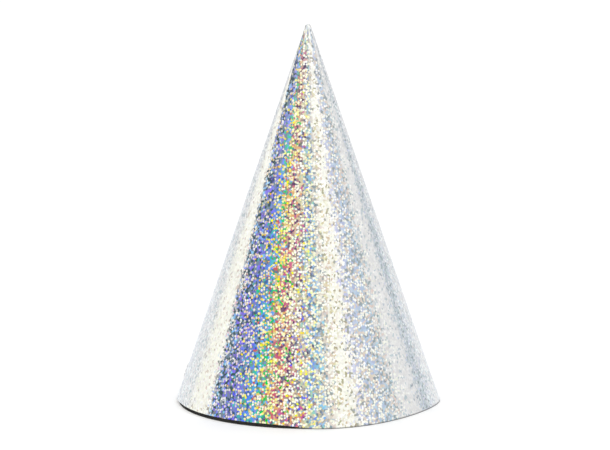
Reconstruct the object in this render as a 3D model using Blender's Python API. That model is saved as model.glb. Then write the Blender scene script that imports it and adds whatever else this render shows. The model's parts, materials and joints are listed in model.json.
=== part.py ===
"""Cone party hat: holographic film on rolled card, with a chin elastic held by a barb each side.

Frame: metres, +Z up. The origin is the middle of the open rim, on the table the hat stands on.
The front faces -Y and the seam runs down the back, at +Y. Angles run anticlockwise from +X.
The chin elastic lies on the table inside the hat, and swings about the line between its holes.
"""

import math

import bmesh
import bpy
from mathutils import Matrix, Vector

# The hat's outside.
RIM_RADIUS = 0.055
APEX_HEIGHT = 0.160  # where the straight sides would meet
TIP_HEIGHT = 0.1574  # where the rolled tip really ends
TIP_RADIUS = RIM_RADIUS * (1 - TIP_HEIGHT / APEX_HEIGHT)
SLOPE = math.atan(RIM_RADIUS / APEX_HEIGHT)  # the wall's lean from upright
SIDE_PINCH = 0.32  # how much the right side is squeezed flat, where 0 leaves it round
PINCH_SHARPNESS = 3
RIM_LIFT = 0.0019  # the cut edge rises this far along the front left, from RIM_START
RIM_START = -0.0003  # the sheet starts below the table, and is then cut flat at the table
LIFT_CENTRE = math.radians(224)
LIFT_HALF_WIDTH = math.radians(62)
LIFT_RAMP = math.radians(36)  # how gradually the rise begins and ends

# The layers, measured square to the wall.
FILM = 0.0001
CARD = 0.00035
TAPE = 0.0001
GAP = 0.0001  # clearance between any two pieces that touch
WALL = FILM + GAP + CARD

# The rolled sheet. It starts at the seam's outer edge, and its end slips under that edge.
COLUMNS_PER_TURN = 96
STEP = math.tau / COLUMNS_PER_TURN
SEAM = math.radians(97.5)
LAP_COLUMNS = 4  # how far the two ends overlap
JOG_COLUMNS = 3  # where the sheet steps inwards to pass under the seam
LAP_DROP = WALL + TAPE + 2 * GAP
HOLE_ROW = 0.020  # a row of points above the holes
TRIM_TOP, TRIM_END = 0.142, 0.118  # the lap's corner is cut off below the tip

# The adhesive strip in the seam.
TAPE_WIDTH = 0.005
TAPE_BOTTOM, TAPE_TOP = 0.004, 0.100
TAPE_CENTRE = SEAM + LAP_COLUMNS * STEP / 2
TAPE_ROWS, TAPE_COLUMNS = 6, 4

# The chin elastic. It leaves the hat through a hole in each side, into a barb that stops it.
CORD_RADIUS = 0.0006
HOLE_RADIUS = CORD_RADIUS + 0.0002
SWING_BACK = 0.0125  # the line between the holes is this far behind the hat's middle
SWING_HEIGHT = 0.0095
LOOP_REACH = 0.0465  # from that line to the far end of the loop
LOOP_TILT = math.asin((SWING_HEIGHT - CORD_RADIUS - 0.0003) / LOOP_REACH)  # far end on the table
# Where the cord bends after its hole: how far in from the wall, and how far out along the loop.
BEND = ((0.0012, 0), (0.0036, 0), (0.0044, 0.0030), (0.0058, 0.0085))
SWEEP_START = (0.0092, 0.0220)  # the long curve leaves the bend towards this point
SWEEP_END = 0.028  # and comes level this far from the loop's middle
BEND_SAMPLES, SWEEP_SAMPLES = 6, 14

# The barbs, lying up the slope outside.
BARB_LENGTH = 0.0095
BARB_WIDTH = 0.0028
BARB_THICKNESS = 0.0012
BARB_ROWS, BARB_COLUMNS = 12, 8
CORD_STOP = GAP + 0.75 * BARB_THICKNESS  # the cord ends this far outside the film


def material(name, colour, roughness, metallic=0.0):
    made = bpy.data.materials.new(name)
    made.use_nodes = True
    shader = made.node_tree.nodes["Principled BSDF"]
    shader.inputs["Base Color"].default_value = (*colour, 1)
    shader.inputs["Roughness"].default_value = roughness
    shader.inputs["Metallic"].default_value = metallic
    return made


def add_object(name, data, surface=None, parent=None):
    made = bpy.data.objects.new(name, data)
    bpy.context.scene.collection.objects.link(made)
    made.parent = parent
    if surface:
        data.materials.append(surface)
    return made


def smoothstep(x):
    x = min(max(x, 0.0), 1.0)
    return x * x * (3 - 2 * x)


# ---------------------------------------------------------------- the wall


def outline(angle, pinch):
    """The wall's plan at this angle, for a radius of 1."""
    squeeze = 1 - pinch * max(math.cos(angle), 0) ** PINCH_SHARPNESS
    return Vector((math.cos(angle), math.sin(angle) * squeeze, 0))


def inwards(angle, pinch):
    """The level direction square to that plan, towards the inside."""
    nudge = 1e-4
    along = outline(angle + nudge, pinch) - outline(angle - nudge, pinch)
    return Vector((-along.y, along.x, 0)).normalized()


def drop(angle):
    """How far the sheet has stepped inwards to pass under the seam."""
    jog = JOG_COLUMNS * STEP
    return LAP_DROP * smoothstep((angle - (SEAM + math.tau - jog)) / jog)


def wall(angle, height, depth=0.0):
    """A point this deep under the film's outer face. The wall is ruled from rim to tip."""
    rise = height / TIP_HEIGHT
    rim, tip = outline(angle, SIDE_PINCH) * RIM_RADIUS, outline(angle, 0) * TIP_RADIUS
    inner = inwards(angle, SIDE_PINCH).lerp(inwards(angle, 0), rise).normalized()
    level = (depth + drop(angle)) / math.cos(SLOPE)
    return rim.lerp(tip, rise) + inner * level + Vector((0, 0, height))


def rim_height(angle):
    away = abs((angle - LIFT_CENTRE + math.pi) % math.tau - math.pi)
    return RIM_START + RIM_LIFT * smoothstep((LIFT_HALF_WIDTH - away) / LIFT_RAMP)


def top_height(angle):
    """The sheet reaches the tip, except where its end is trimmed to a slant under the seam."""
    lap_start = SEAM + math.tau
    jog, lap = JOG_COLUMNS * STEP, LAP_COLUMNS * STEP
    if angle < lap_start:
        return TIP_HEIGHT + (TRIM_TOP - TIP_HEIGHT) * max(0, 1 + (angle - lap_start) / jog)
    return TRIM_TOP + (TRIM_END - TRIM_TOP) * (angle - lap_start) / lap


def grid_object(name, rows, thickness, surface):
    """A sheet through rows of points, given thickness towards the inside of the hat."""
    width = len(rows[0])
    faces = [
        (r * width + c, r * width + c + 1, (r + 1) * width + c + 1, (r + 1) * width + c)
        for r in range(len(rows) - 1)
        for c in range(width - 1)
    ]
    mesh = bpy.data.meshes.new(name)
    mesh.from_pydata([point for row in rows for point in row], [], faces)
    mesh.shade_smooth()
    made = add_object(name, mesh, surface)
    solid = made.modifiers.new("thickness", "SOLIDIFY")
    solid.thickness = thickness
    solid.offset = -1
    solid.use_even_offset = True
    return made


def rolled_sheet(name, depth, thickness, surface, cutters):
    columns = COLUMNS_PER_TURN + LAP_COLUMNS + 1
    angles = [SEAM + i * STEP for i in range(columns)]
    rows = [
        [wall(a, rim_height(a), depth) for a in angles],
        [wall(a, HOLE_ROW, depth) for a in angles],
        [wall(a, top_height(a), depth) for a in angles],
    ]
    made = grid_object(name, rows, thickness, surface)
    cuts = made.modifiers.new("holes_and_flat_rim", "BOOLEAN")
    cuts.operand_type = "COLLECTION"
    cuts.collection = cutters
    cuts.solver = "EXACT"
    return made


def seam_tape(surface):
    rows = []
    for r in range(TAPE_ROWS):
        height = TAPE_BOTTOM + (TAPE_TOP - TAPE_BOTTOM) * r / (TAPE_ROWS - 1)
        radius = RIM_RADIUS * (1 - height / APEX_HEIGHT)
        turn = TAPE_WIDTH / radius
        starts = TAPE_CENTRE - turn / 2
        angles = [starts + turn * c / TAPE_COLUMNS for c in range(TAPE_COLUMNS + 1)]
        rows.append([wall(a, height, WALL + GAP) for a in angles])
    return grid_object("seam_tape", rows, TAPE, surface)


# ---------------------------------------------------------------- the elastic


def angle_on_axis(side, depth=0.0):
    """Where round the hat the wall, at this depth, meets the line that the elastic swings about."""
    ahead, behind = (math.pi if side == "left" else 0.0), math.pi / 2
    for _ in range(40):
        middle = (ahead + behind) / 2
        if wall(middle, SWING_HEIGHT, depth).y < SWING_BACK:
            ahead = middle
        else:
            behind = middle
    return ahead


def reach_on_axis(side, depth):
    """How far out along X that is."""
    return wall(angle_on_axis(side, depth), SWING_HEIGHT, depth).x


def cutter(name):
    """Makes the object just added a cutter, which isn't a part."""
    made = bpy.context.object
    made.name = name
    made.hide_render = True
    made.display_type = "WIRE"
    return made


def cord_hole(side):
    bpy.ops.mesh.primitive_cylinder_add(
        vertices=20,
        radius=HOLE_RADIUS,
        depth=0.008,
        location=(reach_on_axis(side, 0.0), SWING_BACK, SWING_HEIGHT),
        rotation=(0, math.pi / 2, 0),
    )
    return cutter(f"hole_cutter_{side}")


def table_cutter():
    """Trims the rim level with the table, which leaves a flat edge to stand on."""
    side, depth = 3 * RIM_RADIUS, 0.01
    bpy.ops.mesh.primitive_cube_add(size=1, location=(0, 0, -depth / 2))
    made = cutter("table_cutter")
    made.data.transform(Matrix.Diagonal((side, side, depth, 1)))
    return made


def frame_outside(angle):
    """A frame on the film at the swing axis: X level along the wall, Y up it, Z outwards."""
    nudge = 1e-4
    here = wall(angle, SWING_HEIGHT)
    x_axis = (wall(angle + nudge, SWING_HEIGHT) - wall(angle - nudge, SWING_HEIGHT)).normalized()
    z_axis = x_axis.cross(wall(angle, SWING_HEIGHT + nudge) - here).normalized()
    turned = Matrix((x_axis, z_axis.cross(x_axis), z_axis)).transposed().to_4x4()
    return Matrix.Translation(here) @ turned


def barb(side, surface, hole):
    """A pointed half-round bar, flat towards the hat, with a socket for the cord in its middle."""
    made = bmesh.new()
    rings = []
    for r in range(1, BARB_ROWS):
        along = 2 * r / BARB_ROWS - 1
        taper = 1 - along**4
        ring = []
        for c in range(BARB_COLUMNS + 1):
            turn = math.pi * c / BARB_COLUMNS
            across = math.cos(turn) * taper * BARB_WIDTH / 2
            above = GAP + math.sin(turn) * taper * BARB_THICKNESS
            ring.append(made.verts.new((across, along * BARB_LENGTH / 2, above)))
        rings.append(ring)
    for ring, following in zip(rings, rings[1:]):
        count = len(ring)
        for c in range(count):
            after = (c + 1) % count
            made.faces.new((ring[c], following[c], following[after], ring[after]))
    for ring, end in ((rings[0], -1), (rings[-1], 1)):
        point = made.verts.new((0, end * BARB_LENGTH / 2, GAP))
        for before, after in zip(ring, ring[1:] + ring[:1]):
            made.faces.new((before, after, point))
    bmesh.ops.recalc_face_normals(made, faces=made.faces)
    mesh = bpy.data.meshes.new(f"barb_{side}")
    made.to_mesh(mesh)
    made.free()
    mesh.shade_smooth()
    mesh.set_sharp_from_angle(angle=math.radians(50))
    bar = add_object(f"barb_{side}", mesh, surface)
    bar.matrix_world = frame_outside(angle_on_axis(side))
    socket = bar.modifiers.new("socket", "BOOLEAN")
    socket.object = hole
    socket.solver = "EXACT"
    return bar


def bezier(a, b, c, d, t):
    s = 1 - t
    return a * s**3 + b * (3 * s * s * t) + c * (3 * s * t * t) + d * t**3


def half_loop(side):
    """Half of the elastic in the loop's own plane, from its end in the barb to its middle."""
    outwards = -1 if side == "left" else 1
    inner = reach_on_axis(side, WALL)
    bend = [Vector((inner - outwards * inset, -out, 0)) for inset, out in BEND]
    sweep = [
        bend[-1],
        Vector((inner - outwards * SWEEP_START[0], -SWEEP_START[1], 0)),
        Vector((outwards * SWEEP_END, -LOOP_REACH, 0)),
        Vector((0, -LOOP_REACH, 0)),
    ]
    path = [Vector((reach_on_axis(side, -CORD_STOP), 0, 0))]
    path += [bezier(*bend, i / BEND_SAMPLES) for i in range(BEND_SAMPLES)]
    path += [bezier(*sweep, i / SWEEP_SAMPLES) for i in range(SWEEP_SAMPLES + 1)]
    return path


def elastic_cord(surface):
    """One cord from barb to barb. Its origin is on the line that it swings about."""
    curve = bpy.data.curves.new("elastic_cord", "CURVE")
    curve.dimensions = "3D"
    curve.bevel_depth = CORD_RADIUS
    curve.bevel_resolution = 3
    curve.use_fill_caps = True
    points = half_loop("left") + half_loop("right")[-2::-1]
    line = curve.splines.new("POLY")
    line.points.add(len(points) - 1)
    for spline_point, point in zip(line.points, points):
        spline_point.co = (*point, 1)
    made = add_object("elastic_cord", curve, surface)
    made.location = (0, SWING_BACK, SWING_HEIGHT)
    made.rotation_euler.x = LOOP_TILT
    return made


def main():
    for leftover in list(bpy.data.objects):
        bpy.data.objects.remove(leftover)
    film = material("holographic_film", (0.80, 0.82, 0.86), 0.25, 0.9)
    card = material("white_card", (0.86, 0.86, 0.84), 0.8)
    tape = material("adhesive", (0.90, 0.88, 0.80), 0.5)
    cord = material("elastic", (0.93, 0.93, 0.92), 0.75)
    steel = material("barb_steel", (0.70, 0.70, 0.72), 0.3, 1.0)

    cutters = bpy.data.collections.new("cutters")
    cutters.objects.link(table_cutter())
    for side in ("left", "right"):
        hole = cord_hole(side)
        cutters.objects.link(hole)
        barb(side, steel, hole)
    rolled_sheet("card_cone", FILM + GAP, CARD, card, cutters)
    rolled_sheet("holographic_film", 0.0, FILM, film, cutters)
    seam_tape(tape)
    elastic_cord(cord)


main()
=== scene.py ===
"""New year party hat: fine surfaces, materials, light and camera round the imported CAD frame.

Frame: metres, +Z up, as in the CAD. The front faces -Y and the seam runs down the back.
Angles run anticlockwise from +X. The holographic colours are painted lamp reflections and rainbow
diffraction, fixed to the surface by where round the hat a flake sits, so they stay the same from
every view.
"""

import json
import math

import bpy
from mathutils import Matrix, Vector, noise


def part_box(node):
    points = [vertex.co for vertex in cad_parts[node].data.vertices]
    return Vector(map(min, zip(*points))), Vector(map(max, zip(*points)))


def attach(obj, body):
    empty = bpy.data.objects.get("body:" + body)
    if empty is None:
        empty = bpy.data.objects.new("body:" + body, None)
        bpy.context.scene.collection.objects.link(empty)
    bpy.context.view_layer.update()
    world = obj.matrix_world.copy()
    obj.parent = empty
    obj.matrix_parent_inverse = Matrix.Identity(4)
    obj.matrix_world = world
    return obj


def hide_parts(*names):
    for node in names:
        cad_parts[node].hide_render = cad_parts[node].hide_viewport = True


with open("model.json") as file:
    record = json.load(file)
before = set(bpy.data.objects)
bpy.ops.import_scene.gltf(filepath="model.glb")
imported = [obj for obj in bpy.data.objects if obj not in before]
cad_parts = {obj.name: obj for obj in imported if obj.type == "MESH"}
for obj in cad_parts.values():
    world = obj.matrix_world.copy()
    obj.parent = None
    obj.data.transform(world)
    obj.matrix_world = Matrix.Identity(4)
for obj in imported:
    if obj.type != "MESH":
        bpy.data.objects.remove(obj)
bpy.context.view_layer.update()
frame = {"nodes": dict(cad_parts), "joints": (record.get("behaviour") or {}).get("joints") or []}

# ---------------------------------------------------------------- what the CAD says

SWING_AXIS = Vector(frame["joints"][0]["pos_m"])
film_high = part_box("holographic_film")[1]
cord_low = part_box("elastic_cord")[0]
UP = Vector((0, 0, 1))
RIM_RADIUS = film_high.x
TIP_HEIGHT = film_high.z

# The rolled sheet's shape, as in the CAD. It is squeezed in at the right, and lifted at the front left.
APEX_HEIGHT = 0.160  # where the straight sides would meet
TIP_RADIUS = RIM_RADIUS * (1 - TIP_HEIGHT / APEX_HEIGHT)
SLOPE = math.atan(RIM_RADIUS / APEX_HEIGHT)  # the wall's lean from upright
SIDE_PINCH = 0.32
PINCH_SHARPNESS = 3
RIM_LIFT, RIM_START = 0.0019, -0.0003
LIFT_CENTRE, LIFT_HALF_WIDTH, LIFT_RAMP = (math.radians(a) for a in (224, 62, 36))
FILM = 0.0001
WALL = 0.00055  # film and card together
FRONT = math.pi * 1.5
SEAM = math.radians(97.5)
LAP_DROP = 0.00085

# The fine sheet.
NUDGE = 1e-4  # a small step, in radians or metres, for taking directions from two near points
COLUMNS_PER_TURN = 288
STEP = math.tau / COLUMNS_PER_TURN
LAP_COLUMNS, JOG_COLUMNS = 12, 9
LAP_TOP, LAP_END_TOP = 0.126, 0.118  # the lap's corner is cut off below the tip
DROP_FADE = 0.016  # above LAP_TOP the two ends come level within this height
CARD_DEPTH = FILM + 0.00002  # a hair under the film's inner face
TIP_ROUND_HEIGHT, TIP_ROUND = 0.0008, 0.00035
RIPPLE, RIPPLE_ROUND, RIPPLE_UP = 0.00006, 2.2, 22  # its depth, and how quickly it varies
SHARP_ANGLE = math.radians(42)  # an edge that turns more than this is drawn as an edge
HOLE_RADIUS = 0.0008
HOLE_BLOCK = 4  # cells on a side, taken out round each hole

# The elastic. Its loop lies tilted about the swing axis, and starts off square to the wall.
CORD_RADIUS = 0.0006
far_end = cord_low + Vector((0, CORD_RADIUS, CORD_RADIUS))
LOOP_REACH = math.hypot(SWING_AXIS.y - far_end.y, SWING_AXIS.z - far_end.z)
LOOP_TILT = math.atan2(SWING_AXIS.z - far_end.z, SWING_AXIS.y - far_end.y)
# The curve from the hole, then the handles of the long sweep to the loop's middle. A pair is
# how far in from the wall, and how far along the loop.
BEND = ((0.0012, 0), (0.0036, 0), (0.0044, 0.0030), (0.0058, 0.0085))
SWEEP_START = (0.0092, 0.0220)
SWEEP_END = 0.028  # out from the loop's middle
CORD_STICKS_OUT = 0.0008  # past the film, inside the barb

BARB_LENGTH, BARB_WIDTH, BARB_THICKNESS, BARB_GAP = 0.0095, 0.0028, 0.0012, 0.0001

FLOOR_SIDES = 72
FLOOR_LEVEL = -0.00005
FLOOR_REACH = 3.0
FLOOR_MARGIN = 0.0012  # the painted-shade floor piece starts this far inside the rim


def clamp(x, low=0.0, high=1.0):
    return min(max(x, low), high)


def smoothstep(x):
    x = clamp(x)
    return x * x * (3 - 2 * x)


def bell(x, width):
    return math.exp(-((x / width) ** 2))


# ---------------------------------------------------------------- the wall


def outline(angle, pinch):
    """The wall's plan at this angle, for a radius of 1."""
    squeeze = 1 - pinch * max(math.cos(angle), 0) ** PINCH_SHARPNESS
    return Vector((math.cos(angle), math.sin(angle) * squeeze, 0))


def inwards(angle, pinch):
    """The level direction square to that plan, towards the inside."""
    along = outline(angle + NUDGE, pinch) - outline(angle - NUDGE, pinch)
    return Vector((-along.y, along.x, 0)).normalized()


def drop(angle, height):
    """How far the sheet has stepped inwards to pass under the seam."""
    jog = JOG_COLUMNS * STEP
    beside = smoothstep((angle - (SEAM + math.tau - jog)) / jog)
    below_tip = 1 - smoothstep((height - LAP_TOP) / DROP_FADE)
    return LAP_DROP * beside * below_tip


def wall(angle, height, depth=0.0):
    """A point this deep under the film's outer face. The wall is ruled from rim to tip."""
    rise = height / TIP_HEIGHT
    rim, tip = outline(angle, SIDE_PINCH) * RIM_RADIUS, outline(angle, 0) * TIP_RADIUS
    inner = inwards(angle, SIDE_PINCH).lerp(inwards(angle, 0), rise).normalized()
    level = (depth + drop(angle, height)) / math.cos(SLOPE)
    return rim.lerp(tip, rise) + inner * level + Vector((0, 0, height))


def rim_height(angle):
    away = abs((angle - LIFT_CENTRE + math.pi) % math.tau - math.pi)
    return max(0.0, RIM_START + RIM_LIFT * smoothstep((LIFT_HALF_WIDTH - away) / LIFT_RAMP))


def top_height(angle):
    past_seam = (angle - (SEAM + math.tau)) / (LAP_COLUMNS * STEP)
    if past_seam < -1e-6:
        return TIP_HEIGHT
    return LAP_TOP + (LAP_END_TOP - LAP_TOP) * past_seam


def ripple(angle, height):
    """The rolled card isn't quite true: a slow unevenness, less near the stiff tip."""
    around = Vector((math.cos(angle), math.sin(angle), 0)) * RIPPLE_ROUND
    where = around + Vector((0, 0, height * RIPPLE_UP))
    return RIPPLE * noise.noise(where) * (1 - height / APEX_HEIGHT)


def tip_round(height):
    t = clamp((height - (TIP_HEIGHT - TIP_ROUND_HEIGHT)) / TIP_ROUND_HEIGHT)
    return TIP_ROUND * (1 - math.sqrt(1 - t * t))


ROW_RUNS = ((0.001, 20), (0.002, 60), (0.0015, 11))  # (spacing, count) of rows, from the rim up
FIRST_ROW, LAST_ROW = 0.0003, 0.1570  # two more rows, close to the ends


def row_shares():
    """Rows from rim to tip, as shares of the height."""
    heights = [0, FIRST_ROW]
    start = 0
    for spacing, count in ROW_RUNS:
        heights += [start + spacing * i for i in range(1, count + 1)]
        start += spacing * count
    heights += [LAST_ROW, TIP_HEIGHT]
    return [h / TIP_HEIGHT for h in heights]


HALVINGS = 40


def angle_at(side, depth, y=SWING_AXIS.y, z=SWING_AXIS.z):
    """Where round the hat this side's wall, at this depth, passes through y and z."""
    ahead, behind = (math.pi if side == "left" else 0.0), math.pi / 2
    for _ in range(HALVINGS):
        middle = (ahead + behind) / 2
        if wall(middle, z, depth).y < y:
            ahead = middle
        else:
            behind = middle
    return ahead


SHARES = row_shares()
ANGLES = [SEAM + i * STEP for i in range(COLUMNS_PER_TURN + LAP_COLUMNS + 1)]


def hole_block(side):
    """The lowest row and column of the cells taken out round this side's hole."""
    angle = angle_at(side, 0.0)
    if angle < SEAM:
        angle += math.tau
    column = round((angle - SEAM) / STEP) - HOLE_BLOCK // 2
    nearest = min(range(len(SHARES)), key=lambda r: abs(SHARES[r] * TIP_HEIGHT - SWING_AXIS.z))
    return nearest - HOLE_BLOCK // 2, column


HOLES = {side: hole_block(side) for side in ("left", "right")}


def block_border(row, column):
    """The places round a hole's block, anticlockwise from its lower left, seen from outside."""
    n = HOLE_BLOCK
    places = [(row, column + i) for i in range(n)]
    places += [(row + i, column + n) for i in range(n)]
    places += [(row + n, column + n - i) for i in range(n)]
    places += [(row + n - i, column) for i in range(n)]
    return places


def hole_ring(side, depth):
    """The hole's edge at this depth: an (angle, height) for each place on the block's border."""
    count = 4 * HOLE_BLOCK
    ring = []
    for i in range(count):
        turn = math.radians(225) + math.tau * i / count
        across = math.cos(turn) * HOLE_RADIUS
        if side == "left":
            across = -across
        y, z = SWING_AXIS.y + across, SWING_AXIS.z + math.sin(turn) * HOLE_RADIUS
        angle = angle_at(side, depth, y, z)
        ring.append((angle, z))
    return ring


def sheet_layer(depth, rounded):
    """The grid of one face of the sheet, then its two hole edges: (points, places).

    A place is the point's (angle, height).
    """
    places = []
    for share in SHARES:
        for angle in ANGLES:
            low = rim_height(angle)
            places.append((angle, low + (top_height(angle) - low) * share))
    for side, (_, column) in HOLES.items():
        whole_turn = math.tau if ANGLES[column] > math.tau else 0.0
        places += [(angle + whole_turn, z) for angle, z in hole_ring(side, depth)]
    points = []
    for angle, height in places:
        inset = depth + ripple(angle, height) + (tip_round(height) if rounded else 0)
        points.append(wall(angle, height, inset))
    return points, places


def layer_faces():
    width = len(ANGLES)
    blocked = set()
    for row, column in HOLES.values():
        blocked |= {
            (row + i, column + j) for i in range(HOLE_BLOCK) for j in range(HOLE_BLOCK)
        }
    faces = []
    for r in range(len(SHARES) - 1):
        for c in range(width - 1):
            if (r, c) in blocked:
                continue
            at = r * width + c
            faces.append((at, at + 1, at + width + 1, at + width))
    ring_start = len(SHARES) * width
    for row, column in HOLES.values():
        border = [r * width + c for r, c in block_border(row, column)]
        count = len(border)
        for i in range(count):
            j = (i + 1) % count
            faces.append((border[i], border[j], ring_start + j, ring_start + i))
        ring_start += count
    return faces


def edge_loops():
    """The outline of the sheet and the two hole edges, as loops of places in a layer."""
    width, height = len(ANGLES), len(SHARES)
    last = height - 1
    outline_loop = list(range(width - 1))
    outline_loop += [r * width + width - 1 for r in range(last)]
    outline_loop += [last * width + width - 1 - c for c in range(width - 1)]
    outline_loop += [(last - r) * width for r in range(last)]
    loops = [outline_loop]
    start = height * width
    count = 4 * HOLE_BLOCK
    for _ in HOLES:
        loops.append([start + count - 1 - i for i in range(count)])
        start += count
    return loops


def add_object(name, data):
    made = bpy.data.objects.new(name, data)
    bpy.context.scene.collection.objects.link(made)
    return made


def add_mesh(name, points, faces, surface):
    mesh = bpy.data.meshes.new(name)
    mesh.from_pydata(points, [], faces)
    mesh.validate()
    mesh.shade_smooth()
    mesh.set_sharp_from_angle(angle=SHARP_ANGLE)
    mesh.materials.append(surface)
    return add_object(name, mesh)


# Where the painted bands of lamp reflection and rainbow diffraction lie, in azimuth from -90 (left) to
# 90 (right).
DRIFT = 0.00125  # towards the tip, the left bands lean to the left by this much
DRIFT_START, DRIFT_RAMP = 0.05, 0.35  # the lean grows leftwards from here, in shares of the radius
DRIFT_EDGE = 0.15  # and fades out within this share of the left edge
CREAM_EDGE, CREAM_WIDTH, CREAM_DRIFT = 5, 9, 6  # and the near edge of the pale band, a painted lamp reflection, leans too
BACK_RIGHT_RATE, BACK_LEFT_RATE = 1.354, 1.6  # both sides come to -42 at the seam
LEAST_RADIUS = 1e-4


def band_share(azimuth):
    """This azimuth as 0 (left edge) to 1 (right edge), as the shader looks it up."""
    return (azimuth + 90) / 180


def band_azimuth(angle, height):
    """Where this place falls in the sequence of painted reflection and diffraction bands, from -90
    (left) to 90 (right).

    Behind, the same sequence is run through again from each side, and below -90 it wraps to 90.
    """
    radius = max(RIM_RADIUS * (1 - height / APEX_HEIGHT), LEAST_RADIUS)
    lateral = wall(angle, height).x / radius
    if math.sin(angle) > 0:
        folded = math.degrees(math.asin(clamp(lateral, -1, 1)))
        if angle > FRONT:
            return 90 - BACK_RIGHT_RATE * (90 - folded)
        return -90 - BACK_LEFT_RATE * (folded + 90)
    leftwards = smoothstep((-lateral - DRIFT_START) / DRIFT_RAMP)
    left = leftwards * smoothstep((1 + lateral) / DRIFT_EDGE)
    rise = height / TIP_HEIGHT
    lateral += DRIFT * left * rise / radius
    azimuth = math.degrees(math.asin(clamp(lateral, -1, 1)))
    return azimuth + CREAM_DRIFT * bell(azimuth - CREAM_EDGE, CREAM_WIDTH) * rise


def add_film_attributes(made, places):
    """Stores each point's place on the unrolled sheet, and its place in the bands."""
    unrolled, bands = [], []
    for angle, height in places:
        reach = (APEX_HEIGHT - height) / math.cos(SLOPE)
        turn = (angle - FRONT) * math.sin(SLOPE)
        unrolled += [math.sin(turn) * reach, -math.cos(turn) * reach, 0]
        bands.append(band_share(band_azimuth(angle, height)))
    places_made = made.data.attributes.new("unrolled", "FLOAT_VECTOR", "POINT")
    places_made.data.foreach_set("vector", unrolled)
    bands_made = made.data.attributes.new("band", "FLOAT", "POINT")
    bands_made.data.foreach_set("value", bands)


def sheet(name, outer_depth, inner_depth, surface, inner_rounded):
    """The whole sheet between two depths: its two faces, joined round the outline and the holes.

    Gives the object, and the (angle, height) of each of its points.
    """
    outer, places = sheet_layer(outer_depth, True)
    inner, _ = sheet_layer(inner_depth, inner_rounded)
    count = len(outer)
    faces = layer_faces()
    faces += [tuple(count + i for i in reversed(face)) for face in layer_faces()]
    for loop in edge_loops():
        for a, b in zip(loop, loop[1:] + loop[:1]):
            faces.append((b, a, a + count, b + count))
    return add_mesh(name, outer + inner, faces, surface), places + places


# ---------------------------------------------------------------- the elastic


def bezier(a, b, c, d, t):
    s = 1 - t
    return a * s**3 + b * (3 * s * s * t) + c * (3 * s * t * t) + d * t**3


def half_loop(side, samples):
    """Half of the elastic in the loop's own plane, from its end in the barb to its middle."""
    outwards = -1 if side == "left" else 1
    inner = wall(angle_at(side, WALL), SWING_AXIS.z, WALL).x
    outer = wall(angle_at(side, 0), SWING_AXIS.z, 0).x
    bend = [Vector((inner - outwards * inset, -out, 0)) for inset, out in BEND]
    sweep = [
        bend[-1],
        Vector((inner - outwards * SWEEP_START[0], -SWEEP_START[1], 0)),
        Vector((outwards * SWEEP_END, -LOOP_REACH, 0)),
        Vector((0, -LOOP_REACH, 0)),
    ]
    path = [Vector((outer + outwards * CORD_STICKS_OUT, 0, 0))]
    path += [bezier(*bend, i / samples) for i in range(samples)]
    path += [bezier(*sweep, i / samples) for i in range(samples + 1)]
    return path


def evenly(path, spacing):
    """The same path with points about this far apart."""
    lengths = [0.0]
    for a, b in zip(path, path[1:]):
        lengths.append(lengths[-1] + (b - a).length)
    count = round(lengths[-1] / spacing)
    result, at = [], 0
    for i in range(count + 1):
        want = lengths[-1] * i / count
        while at < len(path) - 2 and lengths[at + 1] < want:
            at += 1
        span = lengths[at + 1] - lengths[at]
        result.append(path[at].lerp(path[at + 1], (want - lengths[at]) / span))
    return result


PATH_SAMPLES = 200  # for each of a half loop's two curves
STRANDS = 4  # each way round
BRAID_PITCH = 0.0032
BRAID_SPACING = 0.0001
STRAND_WIDTH, STRAND_THICKNESS = 0.0004, 0.00022
BRAID_RADIUS, BRAID_WAVE = 0.00039, 0.00008
STRAND_SIDES = 6
CORE_SIDES, CORE_EVERY = 10, 4  # the core has a ring at every fourth place along the cord


def tube(points, faces, rings):
    """Adds a capped tube through the rings of points."""
    start = len(points)
    sides = len(rings[0])
    for ring in rings:
        points.extend(ring)
    for r in range(len(rings) - 1):
        for s in range(sides):
            a, b = start + r * sides + s, start + r * sides + (s + 1) % sides
            faces.append((a, b, b + sides, a + sides))
    faces.append(tuple(start + s for s in reversed(range(sides))))
    last = start + (len(rings) - 1) * sides
    faces.append(tuple(last + s for s in range(sides)))


def ring_round(centre, across, upward, sides):
    """Points round an ellipse with these two half axes."""
    turns = [math.tau * s / sides for s in range(sides)]
    return [centre + across * math.cos(t) + upward * math.sin(t) for t in turns]


def cord_places():
    """Evenly spaced (point, sideways direction) along the whole cord, in the loop's own plane."""
    path = half_loop("left", PATH_SAMPLES) + half_loop("right", PATH_SAMPLES)[-2::-1]
    path = evenly(path, BRAID_SPACING)
    places = []
    for i, here in enumerate(path):
        ahead = (path[min(i + 1, len(path) - 1)] - path[max(i - 1, 0)]).normalized()
        places.append((here, ahead.cross(UP)))
    return places


def strand(places, way, number):
    """The rings of one flat strand, which winds one way and weaves over and under the others."""
    rings = []
    for i, (here, side) in enumerate(places):
        along = i * BRAID_SPACING
        turn = way * math.tau * along / BRAID_PITCH + math.tau * number / STRANDS
        wave = way * BRAID_WAVE * math.cos(math.tau * STRANDS * along / BRAID_PITCH)
        out = side * math.cos(turn) + UP * math.sin(turn)
        around = UP * math.cos(turn) - side * math.sin(turn)
        centre = here + out * (BRAID_RADIUS + wave)
        across, thick = around * (STRAND_WIDTH / 2), out * (STRAND_THICKNESS / 2)
        rings.append(ring_round(centre, across, thick, STRAND_SIDES))
    return rings


def braided_cord(surface):
    places = cord_places()
    points, faces = [], []
    for way in (1, -1):
        for number in range(STRANDS):
            tube(points, faces, strand(places, way, number))
    core = [
        ring_round(here, side * BRAID_RADIUS, UP * BRAID_RADIUS, CORE_SIDES)
        for here, side in places[::CORE_EVERY] + [places[-1]]
    ]
    tube(points, faces, core)
    made = add_mesh("braided_elastic", points, faces, surface)
    tilt = Matrix.Rotation(LOOP_TILT, 4, "X")
    made.data.transform(Matrix.Translation(SWING_AXIS) @ tilt)
    return made


# ---------------------------------------------------------------- the barbs


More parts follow.
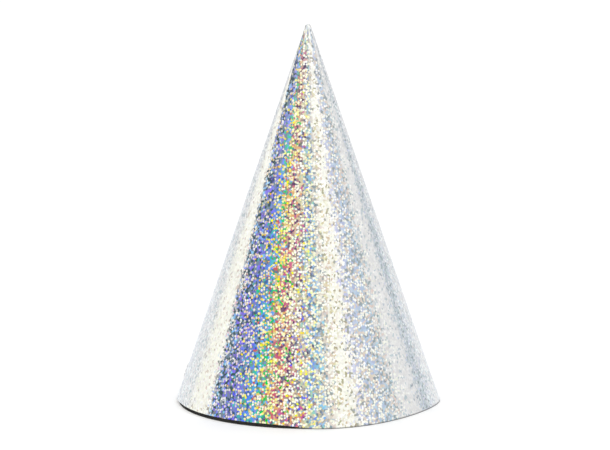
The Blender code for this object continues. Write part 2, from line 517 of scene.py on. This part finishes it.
BARB_ROWS, BARB_TURNS = 72, 28
BARB_END = 0.05  # the size of the ends' last ring, next to the ring before it
CRIMP_DEPTH, CRIMP_PLACE, CRIMP_WIDTH = 0.24, 0.2, 0.06
GROOVE_DEPTH, GROOVE_WIDTH = 0.16, 0.09


def frame_outside(angle):
    """A frame on the film at the swing axis: X level along the wall, Y up it, Z outwards."""
    height = SWING_AXIS.z
    here = wall(angle, height)
    x_axis = (wall(angle + NUDGE, height) - wall(angle - NUDGE, height)).normalized()
    z_axis = x_axis.cross(wall(angle, height + NUDGE) - here).normalized()
    turned = Matrix((x_axis, z_axis.cross(x_axis), z_axis)).transposed().to_4x4()
    return Matrix.Translation(here) @ turned


def barb_ring(along):
    """One ring across the barb, this far along it from -1 to 1."""
    taper = 1 - along**4
    crimps = bell(along - CRIMP_PLACE, CRIMP_WIDTH) + bell(along + CRIMP_PLACE, CRIMP_WIDTH)
    crimp = 1 - CRIMP_DEPTH * crimps
    ring = []
    for c in range(BARB_TURNS + 1):
        turn = math.pi * c / BARB_TURNS
        groove = 1 - GROOVE_DEPTH * bell(turn - math.pi / 2, GROOVE_WIDTH) * (1 - along**8)
        across = math.cos(turn) * taper * BARB_WIDTH / 2 * (0.5 + 0.5 * crimp)
        above = BARB_GAP + math.sin(turn) * taper * BARB_THICKNESS * crimp * groove
        ring.append(Vector((across, along * BARB_LENGTH / 2, above)))
    return ring


def barb_end(end, ring):
    """The small last ring, at the end -1 or 1."""
    tip = Vector((0, end * BARB_LENGTH / 2, BARB_GAP))
    return [tip.lerp(p, BARB_END) for p in ring]


def pressed_barb(side, surface):
    """A pointed bar of folded sheet metal: its edges meet in a groove, and two crimps grip the cord."""
    rings = [barb_ring(2 * r / BARB_ROWS - 1) for r in range(1, BARB_ROWS)]
    rings = [barb_end(-1, rings[0]), *rings, barb_end(1, rings[-1])]
    points, faces = [], []
    tube(points, faces, rings)
    made = add_mesh(f"pressed_barb_{side}", points, faces, surface)
    made.data.transform(frame_outside(angle_at(side, 0.0)))
    return made


# ---------------------------------------------------------------- materials


def linear(colour):
    """An 8-bit screen colour as the linear values, with alpha, that a shader takes."""
    made = []
    for value in colour:
        x = value / 255
        made.append(x / 12.92 if x <= 0.04045 else ((x + 0.055) / 1.055) ** 2.4)
    return (*made, 1)


class Graph:
    """Short names for the shader nodes that the materials use."""

    def __init__(self, name):
        self.material = bpy.data.materials.new(name)
        self.material.use_nodes = True
        self.tree = self.material.node_tree
        self.shader = self.tree.nodes["Principled BSDF"]

    def put(self, socket, value):
        if isinstance(value, bpy.types.NodeSocket):
            self.tree.links.new(value, socket)
        elif value is not None:
            socket.default_value = value

    def node(self, kind, inputs=(), **settings):
        made = self.tree.nodes.new("ShaderNode" + kind)
        for key, value in settings.items():
            setattr(made, key, value)
        for key, value in dict(inputs).items():
            self.put(made.inputs[key], value)
        return made

    def math(self, operation, a, b=None):
        made = self.node("Math", operation=operation)
        self.put(made.inputs[0], a)
        self.put(made.inputs[1], b)
        return made.outputs[0]

    def vector(self, operation, a, b=None):
        made = self.node("VectorMath", operation=operation)
        self.put(made.inputs[0], a)
        self.put(made.inputs["Scale"] if operation == "SCALE" else made.inputs[1], b)
        return made.outputs[0]

    def mix(self, share, a, b, blend="MIX"):
        made = self.node("Mix", data_type="RGBA", blend_type=blend)
        self.put(made.inputs[0], share)
        self.put(made.inputs[6], a)
        self.put(made.inputs[7], b)
        return made.outputs[2]

    def centred(self, colour):
        """Three random numbers from 0 to 1, moved to lie round 0."""
        return self.vector("SUBTRACT", colour, (0.5, 0.5, 0.5))

    def between(self, share, low, high):
        """A mix of two screen colours."""
        return self.mix(share, linear(low), linear(high))

    def ramp(self, factor, stops):
        made = self.node("ValToRGB", {"Fac": factor})
        elements = made.color_ramp.elements
        while len(elements) < len(stops):
            elements.new(1)
        for element, (place, colour) in zip(elements, stops):
            element.position = place
            element.color = colour
        return made.outputs["Color"]

    def noise(self, vector, scale, detail=2, roughness=0.5):
        made = self.node(
            "TexNoise",
            {"Vector": vector, "Scale": scale, "Detail": detail, "Roughness": roughness},
        )
        return made.outputs["Fac"]

    def spread(self, value, low, high):
        """Maps 0..1 onto low..high."""
        made = self.node("MapRange", {"Value": value, "To Min": low, "To Max": high})
        return made.outputs["Result"]

    def bump(self, height, distance):
        return self.node("Bump", {"Height": height, "Distance": distance}).outputs["Normal"]

    def finish(self, **inputs):
        for key, value in inputs.items():
            self.put(self.shader.inputs[key.replace("_", " ")], value)
        return self.material


# The colours of the film's painted lamp reflections, rainbow diffraction and glints, as 8-bit screen
# values.
PALETTE = {
    "white": (255, 255, 245),
    "pearl": (245, 250, 250),
    "cream": (250, 250, 240),
    "silver": (230, 230, 230),
    "mist": (215, 220, 230),
    "steel": (195, 205, 210),
    "pewter": (160, 170, 175),
    "slate": (125, 140, 155),
    "ink": (70, 90, 95),
    "sand": (220, 210, 200),
    "khaki": (180, 175, 150),
    "straw": (220, 210, 175),
    "lemon": (250, 240, 175),
    "peach": (250, 230, 200),
    "gold": (230, 190, 130),
    "rose": (205, 115, 140),
    "plum": (100, 75, 110),
    "mauve": (165, 135, 145),
    "lilac": (230, 210, 235),
    "periwinkle": (140, 140, 235),
    "azure": (125, 160, 250),
    "denim": (90, 110, 170),
    "sky": (155, 200, 240),
    "powder": (190, 205, 225),
    "lavender": (205, 210, 230),
    "teal": (95, 195, 170),
    "green": (65, 205, 100),
    "mint": (155, 205, 190),
    "moss": (120, 140, 115),
}

# The painted bands of lamp reflection and rainbow diffraction, by azimuth from -90 (left edge) to
# 90 (right edge); the pale bands are painted reflections of the lamps. Each has its main,
# second, dark and glint colours, then the shares of dark ground and of glints.
BANDS = (
    (-88, ("mist", "silver", "steel", "pearl"), 0.2, 0.4),
    (-67, ("silver", "silver", "steel", "pearl"), 0.25, 0.4),
    (-60, ("cream", "cream", "sand", "white"), 0.1, 0.4),
    (-50, ("cream", "cream", "sand", "white"), 0.1, 0.4),
    (-47, ("slate", "sky", "ink", "lilac"), 0.35, 0.35),
    (-42, ("slate", "periwinkle", "ink", "mist"), 0.35, 0.4),
    (-37, ("slate", "periwinkle", "ink", "lilac"), 0.3, 0.4),
    (-31, ("periwinkle", "slate", "denim", "peach"), 0.2, 0.45),
    (-27, ("azure", "teal", "denim", "lemon"), 0.2, 0.5),
    (-24, ("teal", "azure", "moss", "peach"), 0.15, 0.5),
    (-20, ("green", "gold", "moss", "lemon"), 0.2, 0.5),
    (-18, ("rose", "gold", "mauve", "lemon"), 0.2, 0.55),
    (-13, ("rose", "gold", "plum", "lemon"), 0.25, 0.6),
    (-9, ("straw", "mauve", "plum", "white"), 0.25, 0.6),
    (-3, ("straw", "khaki", "slate", "white"), 0.2, 0.65),
    (2, ("mint", "azure", "slate", "lemon"), 0.2, 0.6),
    (6, ("sky", "khaki", "slate", "lemon"), 0.25, 0.6),
    (10, ("sand", "sand", "pewter", "white"), 0.25, 0.55),
    (14, ("cream", "straw", "khaki", "white"), 0.1, 0.5),
    (20, ("cream", "cream", "khaki", "white"), 0.15, 0.5),
    (24, ("lavender", "sand", "pewter", "white"), 0.2, 0.5),
    (31, ("powder", "sand", "pewter", "cream"), 0.25, 0.5),
    (37, ("powder", "sand", "pewter", "cream"), 0.25, 0.5),
    (41, ("steel", "sand", "pewter", "silver"), 0.25, 0.4),
    (45, ("silver", "silver", "steel", "cream"), 0.1, 0.4),
    (57, ("silver", "silver", "steel", "silver"), 0.2, 0.4),
    (61, ("steel", "steel", "pewter", "mist"), 0.2, 0.4),
    (65, ("steel", "steel", "pewter", "mist"), 0.2, 0.4),
    (68, ("mist", "silver", "steel", "pearl"), 0.15, 0.4),
    (80, ("silver", "silver", "steel", "pearl"), 0.15, 0.4),
    (88, ("mist", "silver", "steel", "pearl"), 0.2, 0.4),
)
MAIN, SECOND, DARK, GLINT = range(4)
SECOND_SHARE = 0.3  # of the ground flakes, in every band

# How much the bands fray, by azimuth.
FRAY = (
    (-90, 0.3), (-52, 0.1), (-48, 0.1), (-44, 0.5), (-39, 1), (4, 1),
    (9, 0.2), (20, 0.3), (26, 0.5), (40, 0.5), (50, 0.3), (90, 0.3),
)
SLOW_SHIFT, FAR_SHIFT, NEAR_SHIFT = (angle / 180 for angle in (3.0, 12.0, 1.2))
SLOW_SCALE = 90.0

# How much the painted glints turn yellow towards the tip, by azimuth.
YELLOWING = ((-51, 0), (-47, 0.9), (-22, 0.8), (-13, 0.15), (0, 0))
YELLOW_GLINT = (255, 240, 125)

# The flakes: how many to the metre, and the range of each thing that varies among them.
GROUND_SCALE, GROUND_STRETCH = 1250.0, (1.0, 0.85, 1.0)
WANDER_SCALE, WANDER = 2200.0, 0.0006  # the waviness of the ground flakes' outlines
GROUND_HUE = (0.46, 0.54)
GLINT_SCALE = 900.0
GLINT_RADIUS = (0.36, 0.52)
GLINT_HUE = (0.47, 0.54)
GLINT_SATURATION = (0.35, 1.9)
FLAKE_VALUE = (0.92, 1.08)
FLAKE_TILT = 0.12
FILM_ROUGHNESS = (0.3, 0.45)
FILM_METALLIC = 0.75
FILM_SATURATION = (1.14, 0.7)  # at the rim, and at the tip

# The painted shade along the rim, where the film meets the table: how high it fades out, and its
# colour.
RIM_SHADE_HEIGHT = 0.0006
RIM_SHADE_GREY = (84, 84, 84)


def azimuth_ramp(g, place, stops):
    """A plain value that changes with azimuth."""
    return g.ramp(place, [(band_share(azimuth), (v, v, v, 1)) for azimuth, v in stops])


def band_colour(g, place, role):
    """The colour that this role, such as DARK, has in the band at this place."""
    stops = [(band_share(azimuth), linear(PALETTE[names[role]])) for azimuth, names, *_ in BANDS]
    return g.ramp(place, stops)


def band_shares(g, place):
    """The shares of dark ground and of glints in the band at this place."""
    stops = [(band_share(azimuth), (dark, glints, 0, 1)) for azimuth, _, dark, glints in BANDS]
    split = g.node("SeparateColor", {"Color": g.ramp(place, stops)})
    return split.outputs[0], split.outputs[1]


def frayed_lookup(g, unrolled, band):
    """Makes the function that says from which place in the bands a flake takes its colours.

    It is near the flake's own place, or for a few flakes far off, so that the bands fray.
    """
    fray = azimuth_ramp(g, band, FRAY)
    slow = g.spread(g.noise(unrolled, SLOW_SCALE), -SLOW_SHIFT, SLOW_SHIFT)

    def looked_up(roll):
        centred = g.spread(roll, -1.0, 1.0)
        far = g.math("MULTIPLY", g.math("POWER", centred, 3.0), FAR_SHIFT)
        off = g.math("MULTIPLY", g.math("ADD", far, slow), fray)
        near = g.math("MULTIPLY", centred, NEAR_SHIFT)
        return g.math("FRACT", g.math("ADD", g.math("ADD", band, off), near))

    return looked_up


def film_ground(g, unrolled, looked_up):
    """Ragged flakes under a millimetre across, each in one of its band's three ground colours.

    Gives their colour, the share of glints, and the flakes' random numbers, whole and the third one.
    """
    wander = g.node("TexNoise", {"Vector": unrolled, "Scale": WANDER_SCALE, "Detail": 1.0})
    shift = g.vector("SCALE", g.centred(wander.outputs["Color"]), WANDER)
    bent = g.vector("MULTIPLY", g.vector("ADD", unrolled, shift), GROUND_STRETCH)
    cells = g.node("TexVoronoi", {"Vector": bent, "Scale": GROUND_SCALE}, voronoi_dimensions="2D")
    rolls = cells.outputs["Color"]
    pick, roll, tone = g.node("SeparateColor", {"Color": rolls}).outputs
    place = looked_up(roll)
    dark_share, glint_share = band_shares(g, place)
    is_dark = g.math("LESS_THAN", pick, g.math("ADD", dark_share, SECOND_SHARE))
    is_second = g.math("LESS_THAN", pick, SECOND_SHARE)
    colour = g.mix(is_dark, band_colour(g, place, MAIN), band_colour(g, place, DARK))
    colour = g.mix(is_second, colour, band_colour(g, place, SECOND))
    inputs = {"Color": colour, "Hue": g.spread(roll, *GROUND_HUE)}
    return g.node("HueSaturation", inputs).outputs["Color"], glint_share, rolls, tone


def film_glints(g, unrolled, band, up, looked_up, glint_share):
    """Painted glints of lamp light, as round flakes on the ground, yellower towards the tip on the
    left: where, and their colour.
    """
    dots = g.node("TexVoronoi", {"Vector": unrolled, "Scale": GLINT_SCALE}, voronoi_dimensions="2D")
    pick, roll, tone = g.node("SeparateColor", {"Color": dots.outputs["Color"]}).outputs
    yellowing = g.math("MULTIPLY", up, azimuth_ramp(g, band, YELLOWING))
    yellow = g.between(yellowing, (255, 255, 255), YELLOW_GLINT)
    inputs = {
        "Color": g.mix(1.0, band_colour(g, looked_up(roll), GLINT), yellow, "MULTIPLY"),
        "Hue": g.spread(tone, *GLINT_HUE),
        "Saturation": g.spread(g.math("POWER", roll, 2.0), *GLINT_SATURATION),
    }
    colour = g.node("HueSaturation", inputs).outputs["Color"]
    inside = g.math("LESS_THAN", dots.outputs["Distance"], g.spread(tone, *GLINT_RADIUS))
    chosen = g.math("LESS_THAN", pick, glint_share)
    return g.math("MULTIPLY", inside, chosen), colour


def holographic_film():
    g = Graph("holographic_film")
    unrolled = g.node("Attribute", attribute_name="unrolled").outputs["Vector"]
    band = g.math("FRACT", g.node("Attribute", attribute_name="band").outputs["Fac"])
    height = g.node("SeparateXYZ", {"Vector": g.node("TexCoord").outputs["Object"]}).outputs["Z"]
    up = g.node("MapRange", {"Value": height, "From Max": TIP_HEIGHT}).outputs["Result"]
    looked_up = frayed_lookup(g, unrolled, band)
    ground, glint_share, rolls, tone = film_ground(g, unrolled, looked_up)
    is_glint, glint = film_glints(g, unrolled, band, up, looked_up, glint_share)
    # The ground's painted diffraction colours, with painted glints of lamp light on top.
    colour = g.mix(is_glint, ground, glint)

    # Painted shade darkens the film where its cut edge meets the table, and its painted diffraction
    # colours are paler at the tip.
    edge = g.node("MapRange", {"Value": height, "From Max": RIM_SHADE_HEIGHT}).outputs["Result"]
    inputs = {
        "Color": g.mix(edge, linear(RIM_SHADE_GREY), colour),
        "Saturation": g.spread(g.math("POWER", up, 3.0), *FILM_SATURATION),
        "Value": g.spread(tone, *FLAKE_VALUE),
    }
    shade = g.node("HueSaturation", inputs)

    # Each flake leans its own way.
    tilt = g.vector("SCALE", g.centred(rolls), FLAKE_TILT)
    leaned = g.vector("ADD", g.node("NewGeometry").outputs["Normal"], tilt)
    return g.finish(
        Base_Color=shade.outputs["Color"],
        Metallic=FILM_METALLIC,
        Roughness=g.spread(tone, *FILM_ROUGHNESS),
        Normal=g.vector("NORMALIZE", leaned),
    )


# The plain materials: how many fibres or spots to the metre, and how deep they are.
CARD_FIBRES, CARD_CLOUDS, FIBRE_DEPTH = 2600.0, 120.0, 0.00003
UPRIGHT = (1.0, 1.0, 0.35)  # draws fibres out upwards
ADHESIVE_SMEARS, ADHESIVE_DEPTH = 700.0, 0.00003
ELASTIC_FLUFF, ELASTIC_PATCHES, ELASTIC_DEPTH = 9000.0, 300.0, 0.00002
STEEL_LINES, STEEL_SPOTS, STEEL_DEPTH = 9000.0, 1500.0, 0.00001
DRAWN = (1.0, 1.0, 0.08)  # draws lines out along a barb


def white_card():
    """Off-white board, with fine upright fibres and faint clouding."""
    g = Graph("white_card")
    place = g.node("TexCoord").outputs["Object"]
    fibres = g.noise(g.vector("MULTIPLY", place, UPRIGHT), CARD_FIBRES, 4, 0.6)
    cloud = g.noise(place, CARD_CLOUDS, 3)
    colour = g.between(fibres, (228, 227, 222), (244, 243, 239))
    colour = g.mix(g.spread(cloud, 0.0, 0.25), colour, linear((222, 220, 210)))
    return g.finish(
        Base_Color=colour,
        Roughness=g.spread(fibres, 0.7, 0.9),
        Normal=g.bump(fibres, FIBRE_DEPTH),
    )


def adhesive():
    """Yellowish dried glue, with smears."""
    g = Graph("adhesive")
    place = g.node("TexCoord").outputs["Object"]
    smear = g.noise(place, ADHESIVE_SMEARS, 3)
    return g.finish(
        Base_Color=g.between(smear, (216, 208, 180), (236, 231, 212)),
        Roughness=g.spread(smear, 0.35, 0.6),
        Normal=g.bump(smear, ADHESIVE_DEPTH),
    )


def elastic():
    """White thread, with fluff and faint patches."""
    g = Graph("elastic")
    place = g.node("TexCoord").outputs["Object"]
    fluff = g.noise(place, ELASTIC_FLUFF, 3, 0.6)
    patch = g.noise(place, ELASTIC_PATCHES, 2)
    colour = g.between(fluff, (214, 214, 212), (246, 246, 243))
    colour = g.mix(g.spread(patch, 0.0, 0.3), colour, linear((224, 224, 222)))
    return g.finish(
        Base_Color=colour,
        Roughness=g.spread(fluff, 0.65, 0.9),
        Sheen_Weight=0.4,
        Normal=g.bump(fluff, ELASTIC_DEPTH),
    )


def barb_steel():
    """Bright steel, with drawn lines and faint spots."""
    g = Graph("barb_steel")
    place = g.node("TexCoord").outputs["Object"]
    lines = g.noise(g.vector("MULTIPLY", place, DRAWN), STEEL_LINES, 2)
    spots = g.noise(place, STEEL_SPOTS, 3)
    return g.finish(
        Base_Color=g.between(spots, (176, 177, 180), (206, 207, 209)),
        Metallic=1.0,
        Roughness=g.spread(lines, 0.2, 0.42),
        Normal=g.bump(lines, STEEL_DEPTH),
    )


# The second grey is painted shade, for the floor piece under the hat.
FLOOR_WHITE, FLOOR_PAINTED_SHADE, FLOOR_ROUGHNESS = 0.93, 0.01, 0.9


def see_through(g, share):
    """Lets this share of the rays through the material."""
    clear = g.node("BsdfTransparent")
    mixed = g.node("MixShader")
    g.put(mixed.inputs[0], share)
    g.put(mixed.inputs[1], g.shader.outputs[0])
    g.put(mixed.inputs[2], clear.outputs[0])
    g.put(g.tree.nodes["Material Output"].inputs["Surface"], mixed.outputs[0])
    return g.material


def floor_graph(name, grey):
    g = Graph(name)
    g.finish(Base_Color=(grey, grey, grey, 1), Roughness=FLOOR_ROUGHNESS)
    return g


def floor_material():
    """White from above. From below it lets the view through, so the underside can be seen."""
    g = floor_graph("floor_white", FLOOR_WHITE)
    return see_through(g, g.node("NewGeometry").outputs["Backfacing"])


def painted_shade_floor_material():
    """Painted shade: near black from above, standing in for the shadow on the floor under the hat. From
    below it lets light and view through.
    """
    g = floor_graph("floor_painted_shade", FLOOR_PAINTED_SHADE)
    below = g.node("NewGeometry").outputs["Backfacing"]
    shadow = g.node("LightPath").outputs["Is Shadow Ray"]
    return see_through(g, g.math("MAXIMUM", below, shadow))


# ---------------------------------------------------------------- the stage


OVERHEAD_PLACE, OVERHEAD_AIM, OVERHEAD_SIZE, OVERHEAD_POWER = (0, 0.3, 2.2), (0, 0.3, 0), 4.0, 20
FROM_BELOW_POWER = 3.0
HORIZON_LIGHT = 0.75  # the sky's light near the horizon, against 1 above
HORIZON_START, HORIZON_END = 0.05, 0.22  # the upward share of the direction where that changes

CAMERA_DISTANCE = 26 * RIM_RADIUS
CAMERA_ELEVATION = math.radians(9.70)
CAMERA_AIM = Vector((-0.0232, 0, 1.3428)) * RIM_RADIUS
CAMERA_LENS, CAMERA_SENSOR = 204.05, 36  # millimetres
CAMERA_RANGE = (0.05, 20)


def make_floor():
    """A wide floor round the hat, and a separate piece of it under the hat, painted near black as its
    shade.
    """
    turns = [math.tau * i / FLOOR_SIDES for i in range(FLOOR_SIDES)]
    level = Vector((0, 0, FLOOR_LEVEL))
    near = [outline(a, SIDE_PINCH) * (RIM_RADIUS - FLOOR_MARGIN) + level for a in turns]
    far = [outline(a, 0) * FLOOR_REACH + level for a in turns]
    faces = []
    for i in range(FLOOR_SIDES):
        after = (i + 1) % FLOOR_SIDES
        faces.append((i, FLOOR_SIDES + i, FLOOR_SIDES + after, after))
    around = add_mesh("floor", near + far, faces, floor_material())
    painted_shade_piece = add_mesh("floor_painted_shade", near, [range(FLOOR_SIDES)], painted_shade_floor_material())


def lamp(kind, name, place, aim, power):
    data = bpy.data.lights.new(name, kind)
    data.energy = power
    made = add_object(name, data)
    made.location = place
    made.rotation_euler = (Vector(aim) - Vector(place)).to_track_quat("-Z", "Y").to_euler()
    return data


def make_lamps():
    """A wide soft lamp above, and a lamp from below that reaches only the inside of the hat."""
    overhead = lamp("AREA", "overhead", OVERHEAD_PLACE, OVERHEAD_AIM, OVERHEAD_POWER)
    overhead.shape = "SQUARE"
    overhead.size = OVERHEAD_SIZE
    lamp("SUN", "from_below", (0, 0, -1), (0, 0, 0), FROM_BELOW_POWER)


def make_world():
    """Even white light, weaker near the horizon, and plain white where the camera sees it."""
    world = bpy.data.worlds.new("studio")
    world.use_nodes = True
    tree = world.node_tree
    background = tree.nodes["Background"]
    place = tree.nodes.new("ShaderNodeTexCoord")
    parts = tree.nodes.new("ShaderNodeSeparateXYZ")
    tree.links.new(place.outputs["Generated"], parts.inputs[0])
    rise = tree.nodes.new("ShaderNodeMapRange")
    rise.interpolation_type = "SMOOTHSTEP"
    rise.inputs["From Min"].default_value = HORIZON_START
    rise.inputs["From Max"].default_value = HORIZON_END
    rise.inputs["To Min"].default_value = HORIZON_LIGHT
    rise.inputs["To Max"].default_value = 1.0
    tree.links.new(parts.outputs["Z"], rise.inputs["Value"])
    path = tree.nodes.new("ShaderNodeLightPath")
    seen = tree.nodes.new("ShaderNodeMix")
    tree.links.new(path.outputs["Is Camera Ray"], seen.inputs[0])
    tree.links.new(rise.outputs["Result"], seen.inputs[2])
    seen.inputs[3].default_value = 1.0
    background.inputs["Color"].default_value = (1, 1, 1, 1)
    tree.links.new(seen.outputs[0], background.inputs["Strength"])
    bpy.context.scene.world = world


def make_camera():
    """Looks along the photo's direction, at the photo's size."""
    back = Vector((0, -math.cos(CAMERA_ELEVATION), math.sin(CAMERA_ELEVATION)))
    data = bpy.data.cameras.new("camera")
    data.sensor_width = CAMERA_SENSOR
    data.lens = CAMERA_LENS
    data.clip_start, data.clip_end = CAMERA_RANGE
    made = add_object("camera", data)
    made.location = CAMERA_AIM + back * CAMERA_DISTANCE
    made.rotation_euler = (-back).to_track_quat("-Z", "Y").to_euler()
    bpy.context.scene.camera = made


def dress(piece, node, body):
    """Shows this piece in place of its CAD node, and moves it with that body."""
    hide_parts(node)
    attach(piece, body)


def main():
    film, places = sheet("film_skin", 0.0, FILM, holographic_film(), True)
    add_film_attributes(film, places)
    dress(film, "holographic_film", "root")
    card, _ = sheet("card_shell", CARD_DEPTH, WALL, white_card(), False)
    dress(card, "card_cone", "root")
    dress(braided_cord(elastic()), "elastic_cord", "chin_elastic")
    steel = barb_steel()
    for side in ("left", "right"):
        dress(pressed_barb(side, steel), f"barb_{side}", "root")
    tape = frame["nodes"]["seam_tape"]
    tape.data.materials.clear()
    tape.data.materials.append(adhesive())

    make_floor()
    make_world()
    make_lamps()
    make_camera()
    bpy.context.scene.view_settings.view_transform = "Standard"


main()
